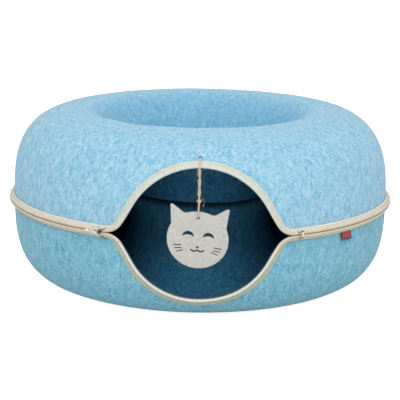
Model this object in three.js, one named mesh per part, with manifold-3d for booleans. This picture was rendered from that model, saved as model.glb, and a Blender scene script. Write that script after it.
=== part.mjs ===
// Felt play tunnel: a hollow felt ring, moulded in an upper and a lower half that a zip joins round
// the outside. The zip is open at the front, where both halves are cut in an arch, and a flat felt
// cat head hangs there on a jute string. Millimetres, +Z up, the arch faces -Y. The ring is built
// round the Z axis, and the last line moves it so that the origin is the middle of its footprint.

import * as THREE from "three";
import { LoftGeometry } from "three/addons/geometries/LoftGeometry.js";
import { mergeVertices } from "three/addons/utils/BufferGeometryUtils.js";
import Module from "manifold-3d";

const wasm = await Module();
wasm.setup();

// Felt ring
const FELT = 4; // thickness of the moulded felt
const RIM_R = 292.5; // outside radius at the zip
const SEAM_Z = 130; // height of the zip's middle line
const HEIGHT = 264;
const CROWN_R = 181.5; // radius of the highest ring
const FOOT_R = 192; // outer edge of the flat foot
const FOOT_INNER_R = 158;
const COLLAR_R = 105; // upper half's wall of the middle hole, on the hole's side
const COLLAR_Z = 138; // where that wall ends
const BOWL_Z = 118; // where its curve would stand upright
const TUCK_R = 99; // lower half's wall, which goes up inside the collar
const TUCK_Z = 162; // where that wall ends
const RISE_Z = 150; // where its curve stands upright
const TURNS = 60; // facets round the ring

// Zip and its tape
const HALF_GAP = 0.3; // from the zip's middle line to each tape
const FELT_BACK = 4; // from a tape's free edge back to the felt's cut edge
const ZIP_LIFT = 7.5; // how far the shut zip stands off the felt
const SHUT_REACH = 8.6; // how far each tape covers the felt along the shut zip
const OPEN_REACH = 10.3; // and round the arch
const SEAT = 0.3; // gap between pieces that touch

// Arched opening, seen from the front
const CORNER_X = 130; // half its width, where the zip starts to be shut
const RISE_ABOVE = 94.7; // from the zip's line to the top of the arch
const RISE_BELOW = 93.4; // and to the bottom
const FLANK = THREE.MathUtils.degToRad(60); // slope of its straight flanks
const CORNER_FILLET = 24; // radius that leads from a flank into the zip's line
const OPENING_EASE = 40; // length along which the tape goes from ridge to flat band

// Zip slider, puller, end stop and side label, by their place round the ring
const SLIDER_AT = -29; // degrees from the front, to the right positive
const STOP_AT = 28.2;
const LABEL_AT = 46;

// Toy and string
const TOY_THICKNESS = 3;
const TOY_AT = new THREE.Vector3(-2.2, -276.5, 123); // middle of the head
const TOY_YAW = THREE.MathUtils.degToRad(12); // its right side hangs nearer
const TOY_ROLL = THREE.MathUtils.degToRad(-2.8); // and lower
const STRING = 2.4; // diameter of the jute
const STRING_HOLE = 4.2; // diameter of the hole in the felt
const TOY_HOLE = 4;
const STRING_HOLE_Z = 237.5;

const finishes = {
  upperFelt: new THREE.MeshStandardMaterial({ color: 0x96c8e6, roughness: 0.95, metalness: 0 }),
  lowerFelt: new THREE.MeshStandardMaterial({ color: 0x86bfdf, roughness: 0.95, metalness: 0 }),
  tape: new THREE.MeshStandardMaterial({ color: 0xe0ddcc, roughness: 0.85, metalness: 0 }),
  metal: new THREE.MeshStandardMaterial({ color: 0xe8e6e0, roughness: 0.3, metalness: 0.9 }),
  label: new THREE.MeshStandardMaterial({ color: 0xb02a30, roughness: 0.8, metalness: 0 }),
  toy: new THREE.MeshStandardMaterial({ color: 0xd2ccc6, roughness: 0.95, metalness: 0 }),
  jute: new THREE.MeshStandardMaterial({ color: 0xd7bea0, roughness: 0.95, metalness: 0 }),
};

const tunnel = new THREE.Group();
const string = new THREE.Group();

function place(group, name, geometry, material) {
  const mesh = new THREE.Mesh(geometry, material);
  mesh.name = name;
  group.add(mesh);
  return mesh;
}

// Booleans

function toSolid(geometry) {
  const bare = geometry.clone();
  bare.deleteAttribute("normal");
  bare.deleteAttribute("uv");
  const merged = mergeVertices(bare, 1e-4);
  const count = merged.getAttribute("position").count;
  const index = merged.index ? merged.index.array : [...Array(count).keys()];
  return new wasm.Manifold(
    new wasm.Mesh({
      numProp: 3,
      vertProperties: new Float32Array(merged.getAttribute("position").array),
      triVerts: new Uint32Array(index),
    }),
  );
}

function toGeometry(solid) {
  const mesh = solid.getMesh();
  const geometry = new THREE.BufferGeometry();
  geometry.setAttribute("position", new THREE.BufferAttribute(mesh.vertProperties, 3));
  geometry.setIndex(new THREE.BufferAttribute(mesh.triVerts, 1));
  geometry.computeVertexNormals();
  return geometry;
}

// Section of the ring: each wall is a quarter of a superellipse, upright at its from end and level
// at its to end, as [radius, height]

const walls = {
  upperSide: { from: [RIM_R, SEAM_Z], to: [CROWN_R, HEIGHT], power: 2.8 },
  upperBowl: { from: [COLLAR_R, BOWL_Z], to: [CROWN_R, HEIGHT], power: 1.8 },
  lowerSide: { from: [RIM_R, SEAM_Z], to: [FOOT_R, 0], power: 3 },
  lowerRise: { from: [TUCK_R, RISE_Z], to: [FOOT_INNER_R, 0], power: 1.8 },
};

function wallPoint(wall, turn) {
  const { from, to, power } = wall;
  return new THREE.Vector2(
    to[0] + (from[0] - to[0]) * Math.cos(turn) ** (2 / power),
    from[1] + (to[1] - from[1]) * Math.sin(turn) ** (2 / power),
  );
}

function turnAtHeight(wall, z) {
  return Math.asin(((z - wall.from[1]) / (wall.to[1] - wall.from[1])) ** (wall.power / 2));
}

// Points along a wall, from the turn at height z to its level end
function wallLine(wall, z, steps) {
  const start = turnAtHeight(wall, z);
  return Array.from({ length: steps + 1 }, (_, i) =>
    wallPoint(wall, Math.min(Math.PI / 2, start + ((Math.PI / 2 - start) * i) / steps)),
  );
}

// The same line moved sideways, which gives the sheet its thickness
function beside(line, distance) {
  return line.map((point, i) => {
    const before = line[Math.max(i - 1, 0)];
    const after = line[Math.min(i + 1, line.length - 1)];
    const along = after.clone().sub(before).normalize();
    return new THREE.Vector2(point.x - along.y * distance, point.y + along.x * distance);
  });
}

function ringSheet(line, distance) {
  const outline = [...line, ...beside(line, distance).reverse(), line[0]];
  if (distance < 0) outline.reverse();
  const ring = new THREE.LatheGeometry(outline, TURNS);
  ring.rotateX(Math.PI / 2);
  return ring;
}

// Outer surface of the ring at a place round it (0 at the front) and a height

function surfaceRadius(z) {
  const { from, to, power } = z >= SEAM_Z ? walls.upperSide : walls.lowerSide;
  const share = Math.min(1, Math.abs((z - from[1]) / (to[1] - from[1])));
  return to[0] + (from[0] - to[0]) * (1 - share ** power) ** (1 / power);
}

function surfaceNormal(around, z) {
  const step = 0.5;
  const slope = (surfaceRadius(z + step) - surfaceRadius(z - step)) / (2 * step);
  return new THREE.Vector3(Math.sin(around), -Math.cos(around), -slope).normalize();
}

function surfacePoint(around, z, lift = 0) {
  const radius = surfaceRadius(z);
  return new THREE.Vector3(Math.sin(around) * radius, -Math.cos(around) * radius, z).addScaledVector(
    surfaceNormal(around, z),
    lift,
  );
}

// The arch of one half, seen from the front, as its height off the zip's line against X, set back
// into the felt by grow. Its radius follows from its rise, its flanks and its corners.

function archLine(rise, grow) {
  const sin = Math.sin(FLANK);
  const cos = Math.cos(FLANK);
  const filletY = HALF_GAP + CORNER_FILLET;
  const flankX = CORNER_X - CORNER_FILLET * sin;
  const flankY = filletY - CORNER_FILLET * cos;
  const tan = sin / cos;
  const radius = (flankX * tan - rise + flankY) / (sin * tan + cos - 1);
  const fillet = CORNER_FILLET - grow;
  const quarter = Math.PI / 2;
  const path = new THREE.Path();
  path.absarc(-CORNER_X, filletY, fillet, -quarter, FLANK - quarter, false);
  path.absarc(0, rise - radius, radius + grow, quarter + FLANK, quarter - FLANK, true);
  path.absarc(CORNER_X, filletY, fillet, Math.PI + quarter - FLANK, Math.PI + quarter, false);
  return path;
}

// The cut through the front wall, as a solid that reaches past the zip's line
function archCutter(rise, side) {
  const past = 10;
  const outline = archLine(rise, FELT_BACK)
    .getPoints(10)
    .map((p) => new THREE.Vector2(p.x, SEAM_Z + side * p.y));
  outline.push(new THREE.Vector2(CORNER_X, SEAM_Z - side * past));
  outline.push(new THREE.Vector2(-CORNER_X, SEAM_Z - side * past));
  const depth = RIM_R + past - CROWN_R;
  const cutter = new THREE.ExtrudeGeometry(new THREE.Shape(outline), { depth, bevelEnabled: false });
  cutter.translate(0, 0, CROWN_R);
  return toSolid(cutter.rotateX(Math.PI / 2));
}

// Felt halves

function upperFelt() {
  const side = wallLine(walls.upperSide, SEAM_Z + HALF_GAP + FELT_BACK, 9);
  const bowl = wallLine(walls.upperBowl, COLLAR_Z, 7).reverse();
  const shell = toSolid(ringSheet([...side, ...bowl.slice(1)], FELT));
  const hole = new THREE.CylinderGeometry(STRING_HOLE / 2, STRING_HOLE / 2, 6 * FELT, 12);
  hole.applyQuaternion(
    new THREE.Quaternion().setFromUnitVectors(
      new THREE.Vector3(0, 1, 0),
      surfaceNormal(0, STRING_HOLE_Z),
    ),
  );
  hole.translate(...surfacePoint(0, STRING_HOLE_Z).toArray());
  return toGeometry(shell.subtract(archCutter(RISE_ABOVE, 1)).subtract(toSolid(hole)));
}

function lowerFelt() {
  const side = wallLine(walls.lowerSide, SEAM_Z - HALF_GAP - FELT_BACK, 9);
  const rise = wallLine(walls.lowerRise, RISE_Z, 8).reverse();
  const top = new THREE.Vector2(TUCK_R, TUCK_Z);
  const shell = toSolid(ringSheet([...side, ...rise, top], -FELT));
  return toGeometry(shell.subtract(archCutter(RISE_BELOW, -1)));
}

place(tunnel, "felt_top", upperFelt(), finishes.upperFelt);
place(tunnel, "felt_bottom", lowerFelt(), finishes.lowerFelt);

// Zip tapes: one band each, lofted round the whole edge. A section point is [in, up]: how far it
// lies into the felt from the tape's free edge, and how far off the felt's outer surface. Where
// the zip is shut the tapes lean out to meet as a ridge, and round the arch they lie flat.

const tapeSection = [
  { shut: [0, 4.2], open: [0, -0.8] },
  { shut: [0, 7.1], open: [0, 1.2] },
  { shut: [0.5, ZIP_LIFT], open: [1, 2.4] },
  { shut: [2.7, ZIP_LIFT], open: [3.2, 2.3] },
  { shut: [4, 6.2], open: [4.6, 1.5] },
  { shut: [SHUT_REACH, 1.4], open: [OPEN_REACH, 1.4] },
  { shut: [SHUT_REACH, 0.4], open: [OPEN_REACH, 0.4] },
  { shut: [5.4, 0.4], open: [4.4, 0.4] },
  { shut: [3, 3.2], open: [3.4, -1.8] },
  { shut: [0.6, 3.6], open: [1, -1.9] },
];

function tapeRun(rise, side) {
  const front = [];
  const line = archLine(rise, 0);
  const [leftFillet, leftFlank, arch, rightFlank, rightFillet] = line.curves;
  const stretches = [
    [leftFillet, 5],
    [leftFlank, 4],
    [arch, 20],
    [rightFlank, 4],
    [rightFillet, 5],
  ];
  const total = line.getLength();
  let before = 0;
  for (const [curve, steps] of stretches) {
    const length = curve.getLength();
    for (let i = front.length ? 1 : 0; i <= steps; i++) {
      const { x, y } = curve.getPointAt(i / steps);
      const run = before + (length * i) / steps;
      const z = SEAM_Z + side * y;
      const ease = Math.min(run, total - run) / OPENING_EASE;
      front.push({
        around: Math.asin(x / surfaceRadius(z)),
        z,
        open: THREE.MathUtils.smoothstep(ease, 0, 1),
      });
    }
    before += length;
  }
  const facet = (2 * Math.PI) / TURNS;
  const corner = front[front.length - 1].around;
  const back = [];
  for (let around = facet; around < 2 * Math.PI; around += facet)
    if (around > corner + facet / 3 && around < 2 * Math.PI - corner - facet / 3)
      back.push({ around, z: SEAM_Z + side * HALF_GAP, open: 0 });
  return [...front, ...back];
}

function zipTape(rise, side) {
  const run = tapeRun(rise, side);
  const points = run.map(({ around, z }) => surfacePoint(around, z));
  const sections = run.map(({ around, z, open }, i) => {
    const before = points[(i + run.length - 1) % run.length];
    const after = points[(i + 1) % run.length];
    const along = after.clone().sub(before).normalize();
    const into = new THREE.Vector3().crossVectors(surfaceNormal(around, z), along);
    into.normalize().multiplyScalar(side);
    return tapeSection.map(({ shut, open: flat }) => {
      const inward = THREE.MathUtils.lerp(shut[0], flat[0], open);
      const lift = THREE.MathUtils.lerp(shut[1], flat[1], open);
      const spot = points[i].clone().addScaledVector(into, inward);
      return surfacePoint(Math.atan2(spot.x, -spot.y), spot.z, lift);
    });
  });
  if (side > 0) sections.forEach((section) => section.reverse());
  return new LoftGeometry([...sections, sections[0]]);
}

place(tunnel, "zip_tape_top", zipTape(RISE_ABOVE, 1), finishes.tape);
place(tunnel, "zip_tape_bottom", zipTape(RISE_BELOW, -1), finishes.tape);

// Small parts on the zip's ridge. Each is drawn at the front, with X along the ring, Z up from the
// zip's middle line and the ridge's face at Y = -RIDGE_R, and then turned to its place.

const RIDGE_R = RIM_R + ZIP_LIFT;

function seatOnRing(name, geometry, material, degrees) {
  const mesh = place(tunnel, name, geometry, material);
  mesh.position.z = SEAM_Z;
  mesh.rotation.z = THREE.MathUtils.degToRad(degrees);
}

// A section given as [out from the ring's axis, up], drawn out along the ring
function alongRing(section, length) {
  const shape = new THREE.Shape(section.map(([out, up]) => new THREE.Vector2(out, up)));
  const piece = new THREE.ExtrudeGeometry(shape, { depth: length, bevelEnabled: false });
  const alongX = new THREE.Vector3(-1, 0, 0);
  const outward = new THREE.Vector3(0, -1, 0);
  piece.translate(0, 0, -length / 2);
  return piece.applyMatrix4(
    new THREE.Matrix4().makeBasis(outward, new THREE.Vector3(0, 0, 1), alongX),
  );
}

// A clamp over the ridge: a plate with two lips, extruded along the ring
function clamp({ length, halfHeight, plate, lip, lipThickness, chamfer }) {
  const inside = RIDGE_R + SEAT;
  const outline = [
    [inside + plate, halfHeight - chamfer],
    [inside + plate - chamfer, halfHeight],
    [inside - lip, halfHeight],
    [inside - lip, halfHeight - lipThickness],
    [inside, halfHeight - lipThickness],
  ];
  const mirrored = outline.map(([out, up]) => [out, -up]).reverse();
  return alongRing([...outline, ...mirrored], length);
}

const slider = { length: 17, halfHeight: 5.4, plate: 1.6, lip: 1.1, lipThickness: 1, chamfer: 0.5 };
const stop = { length: 3.2, halfHeight: 5.4, plate: 1.8, lip: 1.1, lipThickness: 1, chamfer: 0.5 };
const bridge = { left: -7.2, right: 2.6, leg: 1.6, root: -0.4, under: 2.3, top: 3.6, round: 0.8, width: 1.8 };
const puller = { thickness: 1.1, reach: 10.5, head: 1.9, halfWidth: 2.4, flare: 0.2, round: 1 };
const pullerSlot = { before: 1.6, after: 0.5, halfWidth: 1.3 };
const sliderFace = RIDGE_R + SEAT + slider.plate;

// The slider's plate, with the arch that the puller hangs on
function sliderBody() {
  const { left, right, leg, root, under, top, round, width } = bridge;
  const arch = new THREE.Shape([
    new THREE.Vector2(left, root),
    new THREE.Vector2(left, top - round),
    new THREE.Vector2(left + round, top),
    new THREE.Vector2(right - round, top),
    new THREE.Vector2(right, top - round),
    new THREE.Vector2(right, root),
    new THREE.Vector2(right - leg, root),
    new THREE.Vector2(right - leg, under),
    new THREE.Vector2(left + leg, under),
    new THREE.Vector2(left + leg, root),
  ]);
  const bow = new THREE.ExtrudeGeometry(arch, { depth: width, bevelEnabled: false });
  bow.translate(0, sliderFace, -width / 2);
  bow.applyMatrix4(new THREE.Matrix4().makeScale(1, -1, -1));
  return toGeometry(toSolid(clamp(slider)).add(toSolid(bow)));
}

// Flat puller: its slot goes round the bridge's left leg
function sliderPuller() {
  const { left, leg, under } = bridge;
  const { thickness, reach, halfWidth, flare, round } = puller;
  const tip = left - reach + halfWidth;
  const head = left + leg + puller.head;
  const wide = halfWidth + flare;
  const shape = new THREE.Shape();
  shape.moveTo(tip, -halfWidth);
  shape.lineTo(head - round, -wide);
  shape.lineTo(head, round - wide);
  shape.lineTo(head, wide - round);
  shape.lineTo(head - round, wide);
  shape.lineTo(tip, halfWidth);
  shape.absarc(tip, 0, halfWidth, Math.PI / 2, (3 * Math.PI) / 2, false);
  const slot = new THREE.Path();
  slot.moveTo(left - pullerSlot.before, -pullerSlot.halfWidth);
  slot.lineTo(left - pullerSlot.before, pullerSlot.halfWidth);
  slot.lineTo(left + leg + pullerSlot.after, pullerSlot.halfWidth);
  slot.lineTo(left + leg + pullerSlot.after, -pullerSlot.halfWidth);
  shape.holes.push(slot);
  const plate = new THREE.ExtrudeGeometry(shape, {
    depth: thickness,
    bevelEnabled: false,
    curveSegments: 8,
  });
  plate.rotateX(Math.PI / 2);
  plate.translate(0, -(sliderFace + (under - thickness) / 2), 0);
  return plate;
}

seatOnRing("slider_body", sliderBody(), finishes.metal, SLIDER_AT);
seatOnRing("slider_puller", sliderPuller(), finishes.metal, SLIDER_AT);
seatOnRing("zip_stop", clamp(stop), finishes.metal, STOP_AT);

// Side label: a folded tab that hangs from under the lower tape, leaning off the felt

const label = { width: 20, drop: 13, thickness: 1.2, off: 0.5, lean: 1.9, fold: 0.5 };

function sideLabel() {
  const { width, drop, thickness, off, lean, fold } = label;
  const top = -HALF_GAP - SHUT_REACH - SEAT;
  const back = RIM_R + off;
  const section = [
    [back, top],
    [back + thickness, top],
    [back + lean + thickness, top - drop + fold],
    [back + lean + thickness / 2, top - drop],
    [back + lean, top - drop + fold],
  ];
  return alongRing(section, width);
}

seatOnRing("side_label", sideLabel(), finishes.label, LABEL_AT);

// Toy: a cat head cut from flat felt. The right half of its face is given, and the left mirrors it.

const head = { halfWidth: 44, drop: 41, earFoot: [39.4, 19.5] };
const earToCrown = [
  { bend: [40.6, 33.8], end: [42.1, 46.2] },
  { bend: [41.8, 48.9], end: [37.6, 47.1] },
  { bend: [31, 42.7], end: [24.5, 38.4] },
  { bend: [21.5, 36.6], end: [17.5, 37.4] },
  { bend: [8, 40.6], end: [0, 40.4] },
];
const eye = { x: 14.5, y: 4.4, halfWidth: 8, outerRise: 7.2, innerRise: 2.6 };
const nose = { y: -10.4, radius: 1.8 };
const mouth = { y: -15.7, halfWidth: 9.6, wave: 0.9, halfLine: 0.9 };
const whiskers = [
  { inner: [23.5, -9], outer: [34.6, -10.2] },
  { inner: [22.4, -13.2], outer: [32.6, -14.5] },
  { inner: [20.5, -16], outer: [29.3, -19.1] },
];
const WHISKER_HALF = 0.8;
const HANG = [-1.8, 31.7]; // where the string goes through

function arcThroughRise(path, fromX, toX, y, rise) {
  const half = Math.abs(toX - fromX) / 2;
  const radius = (half * half + rise * rise) / (2 * rise);
  const spread = Math.asin(half / radius);
  const middle = (fromX + toX) / 2;
  const start = Math.PI / 2 + (fromX < toX ? spread : -spread);
  const end = Math.PI / 2 - (fromX < toX ? spread : -spread);
  path.absarc(middle, y + rise - radius, radius, start, end, fromX < toX);
}

function headOutline() {
  const { halfWidth, drop, earFoot } = head;
  const foot = Math.atan2(earFoot[1], earFoot[0]);
  const shape = new THREE.Shape();
  shape.absarc(0, 0, halfWidth, Math.PI - foot, Math.PI, false);
  shape.absellipse(0, 0, halfWidth, drop, Math.PI, 2 * Math.PI, false, 0);
  shape.absarc(0, 0, halfWidth, 0, foot, false);
  for (const { bend, end } of earToCrown) shape.quadraticCurveTo(...bend, ...end);
  const ends = [earFoot, ...earToCrown.map(({ end }) => end)];
  for (let i = earToCrown.length - 1; i >= 0; i--) {
    const [bendX, bendY] = earToCrown[i].bend;
    const [endX, endY] = ends[i];
    shape.quadraticCurveTo(-bendX, bendY, -endX, endY);
  }
  return shape;
}

function eyeHole(side) {
  const hole = new THREE.Path();
  const left = side * eye.x - eye.halfWidth;
  const right = side * eye.x + eye.halfWidth;
  arcThroughRise(hole, left, right, eye.y, eye.outerRise);
  arcThroughRise(hole, right, left, eye.y, eye.innerRise);
  return hole;
}

function mouthHole() {
  const steps = 12;
  const wave = (i) => {
    const x = mouth.halfWidth * ((2 * i) / steps - 1);
    const y = mouth.y + mouth.wave * Math.cos((2 * Math.PI * x) / mouth.halfWidth);
    return [x, y];
  };
  const upper = Array.from({ length: steps + 1 }, (_, i) => wave(i));
  const hole = new THREE.Path();
  hole.setFromPoints([
    ...upper.map(([x, y]) => new THREE.Vector2(x, y + mouth.halfLine)),
    ...upper.reverse().map(([x, y]) => new THREE.Vector2(x, y - mouth.halfLine)),
  ]);
  return hole;
}

function whiskerHole({ inner, outer }, side) {
  const from = new THREE.Vector2(side * inner[0], inner[1]);
  const to = new THREE.Vector2(side * outer[0], outer[1]);
  const along = to.clone().sub(from).normalize().multiplyScalar(WHISKER_HALF);
  const across = new THREE.Vector2(-along.y, along.x);
  const hole = new THREE.Path();
  hole.setFromPoints([
    from.clone().add(across),
    from.clone().sub(across),
    to.clone().sub(across),
    to.clone().add(along),
    to.clone().add(across),
  ]);
  return hole;
}

function roundHole(x, y, radius) {
  return new THREE.Path().absarc(x, y, radius, 0, 2 * Math.PI, true);
}

function catHead() {
  const shape = headOutline();
  shape.holes.push(eyeHole(-1), eyeHole(1), mouthHole());
  shape.holes.push(roundHole(0, nose.y, nose.radius));
  shape.holes.push(roundHole(...HANG, TOY_HOLE / 2));
  for (const side of [-1, 1])
    for (const whisker of whiskers) shape.holes.push(whiskerHole(whisker, side));
  const plate = new THREE.ExtrudeGeometry(shape, {
    depth: TOY_THICKNESS,
    bevelEnabled: false,
    curveSegments: 8,
  });
  plate.translate(0, 0, -TOY_THICKNESS / 2);
  plate.rotateX(Math.PI / 2);
  return plate;
}

const toy = place(tunnel, "toy_cat", catHead(), finishes.toy);
toy.position.copy(TOY_AT);
toy.rotation.set(0, -TOY_ROLL, TOY_YAW, "ZYX");

// String: one strand goes out through the felt's hole, over the band, down the toy's face and
// through its hole up to the knot, the other hangs from the hole behind the band to the knot

const frontRoute = [
  [0, -264.8, 236.1],
  [0, -266.2, 237.2],
  [-0.1, -267.4, 237.7],
  [-0.2, -268.6, 237.4],
  [-0.3, -269.9, 236.9],
  [-0.5, -271.2, 236.2],
  [-0.7, -272.9, 234.3],
  [-0.9, -274.8, 231.9],
  [-1, -276.7, 229.8],
  [-1.1, -278.1, 227.4],
  [-1.2, -278.9, 223.8],
  [-1.2, -279, 219.5],
  [-1, -278.8, 215.5],
  [-0.8, -278.6, 212],
  [0.2, -278.2, 208.5],
  [0.6, -277.2, 205],
  [0.1, -276.2, 201.5],
  [-0.95, -275.8, 198],
  [-2, -276.2, 194.5],
  [-2.4, -277.2, 191],
  [-2.1, -278.2, 187.5],
  [-1.2, -278.7, 184],
  [-1.3, -279.1, 178],
  [-1.7, -279.4, 171],
  [-2.1, -279.7, 164],
  [-2.4, -279.9, 158.6],
  [-2.45, -278.9, 155.5],
  [-2.45, -276.5, 154.8],
  [-2.45, -274.1, 155.5],
  [-2.3, -273.1, 158.6],
  [-2, -273, 163],
  [-1.5, -273.8, 168.5],
  [-1.1, -274.6, 173.9],
];
const backRoute = [
  [0, -264.6, 235.9],
  [0, -262.9, 234.4],
  [0.1, -261.6, 232.4],
  [0.3, -262.4, 230.3],
  [0.5, -264.3, 228.4],
  [0.6, -267, 226.4],
  [0.6, -269.3, 224.6],
  [0.5, -271.7, 222.2],
  [0.2, -273.7, 219.4],
  [-0.3, -275, 215.8],
  [-0.8, -275.8, 212],
  [-1.8, -276.2, 208.5],
  [-2.25, -277.2, 205],
  [-1.9, -278.2, 201.5],
  [-0.95, -278.6, 198],
  [0.05, -278.2, 194.5],
  [0.4, -277.2, 191],
  [-0.05, -276.2, 187.5],
  [-0.9, -275.7, 184],
  [-1, -275.2, 181.3],
];
const knotPlace = { at: [-1, -274.9, 177.6], size: [3.4, 2.5, 3.4] };

function strand(route) {
  const curve = new THREE.CatmullRomCurve3(route.map((p) => new THREE.Vector3(...p)));
  const section = new THREE.Shape(
    Array.from({ length: 8 }, (_, i) => {
      const angle = (i * Math.PI) / 4;
      return new THREE.Vector2(Math.cos(angle), Math.sin(angle)).multiplyScalar(STRING / 2);
    }),
  );
  const steps = Math.round(curve.getLength() / (2 * STRING)); // each two strings long
  return new THREE.ExtrudeGeometry(section, { steps, bevelEnabled: false, extrudePath: curve });
}

place(string, "cord_front", strand(frontRoute), finishes.jute);
place(string, "cord_back", strand(backRoute), finishes.jute);
const knot = place(string, "cord_knot", new THREE.IcosahedronGeometry(1, 2), finishes.jute);
knot.scale.set(...knotPlace.size);
knot.position.set(...knotPlace.at);

// Origin: the arch is cut back from the ring's round outline, so the ring's axis lies a little
// behind the middle of its footprint

tunnel.updateMatrixWorld(true);
const reach = new THREE.Box3().setFromObject(tunnel, true);
tunnel.add(string);
tunnel.position.set(0, -(reach.min.y + reach.max.y) / 2, -reach.min.z);

export default tunnel;
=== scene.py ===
# Felt play tunnel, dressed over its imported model: two moulded felt rings, the zip that joins them,
# its slider, stop and side label, and a felt cat head that hangs on a jute string in the mouth.

import math
import random

import bmesh
import bpy
import numpy as np
from mathutils import Matrix, Vector, kdtree, noise


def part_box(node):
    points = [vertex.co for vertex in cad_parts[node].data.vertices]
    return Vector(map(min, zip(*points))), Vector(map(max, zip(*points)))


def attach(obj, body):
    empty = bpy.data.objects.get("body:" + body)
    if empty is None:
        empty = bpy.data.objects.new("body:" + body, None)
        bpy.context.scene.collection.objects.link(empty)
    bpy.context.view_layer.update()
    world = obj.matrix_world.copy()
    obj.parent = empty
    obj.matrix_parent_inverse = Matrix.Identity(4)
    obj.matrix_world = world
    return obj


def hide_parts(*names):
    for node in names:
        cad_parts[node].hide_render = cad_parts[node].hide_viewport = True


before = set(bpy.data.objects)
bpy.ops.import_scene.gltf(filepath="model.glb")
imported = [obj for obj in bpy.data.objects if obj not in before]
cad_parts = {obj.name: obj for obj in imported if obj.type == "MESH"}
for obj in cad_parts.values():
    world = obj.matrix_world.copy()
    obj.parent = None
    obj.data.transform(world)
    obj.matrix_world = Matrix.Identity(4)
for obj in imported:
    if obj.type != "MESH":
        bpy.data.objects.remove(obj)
scene = bpy.context.scene
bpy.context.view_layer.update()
bpy.ops.object.select_all(action="DESELECT")

# Camera: it stands 2.1 m in front of the tunnel, looks down on it by 13 degrees, and is turned by
# a little over half a degree. Everything below is drawn round the ring's own axis.

axis_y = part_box("zip_tape_top")[1].y - 0.3

lens = bpy.data.cameras.new("camera")
lens.lens = 122.4
lens.sensor_width = 36
camera = bpy.data.objects.new("camera", lens)
scene.collection.objects.link(camera)
camera.matrix_world = (
    Matrix.Translation((0, axis_y - 2.1096, 0.6118))
    @ Matrix.Rotation(math.radians(90 - 13.25), 4, "X")
    @ Matrix.Rotation(math.radians(0.64), 4, "Z")
)
scene.camera = camera
scene.view_settings.view_transform = "Standard"

# String: brown jute, laid from two plies. One strand goes out through the felt's hole, over the
# zip tape and through the toy, the other comes down behind it, and a knot joins both above the toy.

JUTE = 0.0024
front_route = [
    (0, -264.8, 236.1), (0, -266.2, 237.2), (-0.1, -267.4, 237.7), (-0.2, -268.6, 237.4),
    (-0.3, -269.9, 236.9), (-0.5, -271.2, 236.2),
    (-0.7, -272.9, 234.3), (-0.9, -274.8, 231.9), (-1, -276.7, 229.8), (-1.1, -278.1, 227.4),
    (-1.2, -278.9, 223.8), (-1.2, -279, 219.5), (-1, -278.8, 215.5), (-0.8, -278.6, 212),
    (0.2, -278.2, 208.5), (0.6, -277.2, 205), (0.1, -276.2, 201.5), (-0.95, -275.8, 198),
    (-2, -276.2, 194.5), (-2.4, -277.2, 191), (-2.1, -278.2, 187.5), (-1.2, -278.7, 184),
    (-1.3, -279.1, 178), (-1.7, -279.4, 171), (-2.1, -279.7, 164), (-2.4, -279.9, 158.6),
    (-2.45, -278.9, 155.5), (-2.45, -276.5, 154.8), (-2.45, -274.1, 155.5), (-2.3, -273.1, 158.6),
    (-2, -273, 163), (-1.5, -273.8, 168.5), (-1.1, -274.6, 173.9),
]
back_route = [
    (0, -264.6, 235.9), (0, -262.9, 234.4), (0.1, -261.6, 232.4), (0.3, -262.4, 230.3),
    (0.5, -264.3, 228.4), (0.6, -267, 226.4), (0.6, -269.3, 224.6), (0.5, -271.7, 222.2),
    (0.2, -273.7, 219.4), (-0.3, -275, 215.8), (-0.8, -275.8, 212), (-1.8, -276.2, 208.5),
    (-2.25, -277.2, 205), (-1.9, -278.2, 201.5), (-0.95, -278.6, 198), (0.05, -278.2, 194.5),
    (0.4, -277.2, 191), (-0.05, -276.2, 187.5), (-0.9, -275.7, 184), (-1, -275.2, 181.3),
]
left_tail = [(-2.4, -274.6, 178), (-3.4, -273.8, 178.9), (-4.2, -273.4, 177.6)]
right_tail = [
    (0.4, -274.4, 178.6), (2.6, -273.6, 180.8), (5.2, -273.1, 179.8), (6, -272.8, 176), (4.6, -272.7, 171.6),
]


def placed(x, y, z):
    """A point given in millimetres round the ring's axis, where the row frame has it."""
    return Vector((x / 1000, axis_y + y / 1000, z / 1000))


def smooth_route(given, step, snug=1.0):
    """Points about a step apart on the smooth curve through the given ones. Where the two strands
    are twisted together, snug draws them in to the line that they turn round."""
    middle_x, middle_y = -0.9, -277.2
    drawn = [
        (snug * (x - middle_x) + middle_x, snug * (y - middle_y) + middle_y, z) if 183 < z < 213 else (x, y, z)
        for x, y, z in given
    ]
    knots = [placed(*p) for p in drawn]
    knots = [knots[0] * 2 - knots[1], *knots, knots[-1] * 2 - knots[-2]]
    line = []
    for a, b, c, d in zip(knots, knots[1:], knots[2:], knots[3:]):
        count = max(1, round((c - b).length / step))
        for k in range(count):
            t = k / count
            bend = (c - a) * t + (2 * a - 5 * b + 4 * c - d) * t**2 + (3 * b - a - 3 * c + d) * t**3
            line.append(b + bend / 2)
    line.append(knots[-2])
    return line


def new_piece(name, mesh, material):
    piece = bpy.data.objects.new(name, mesh)
    scene.collection.objects.link(piece)
    mesh.materials.append(material)
    return piece


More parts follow.
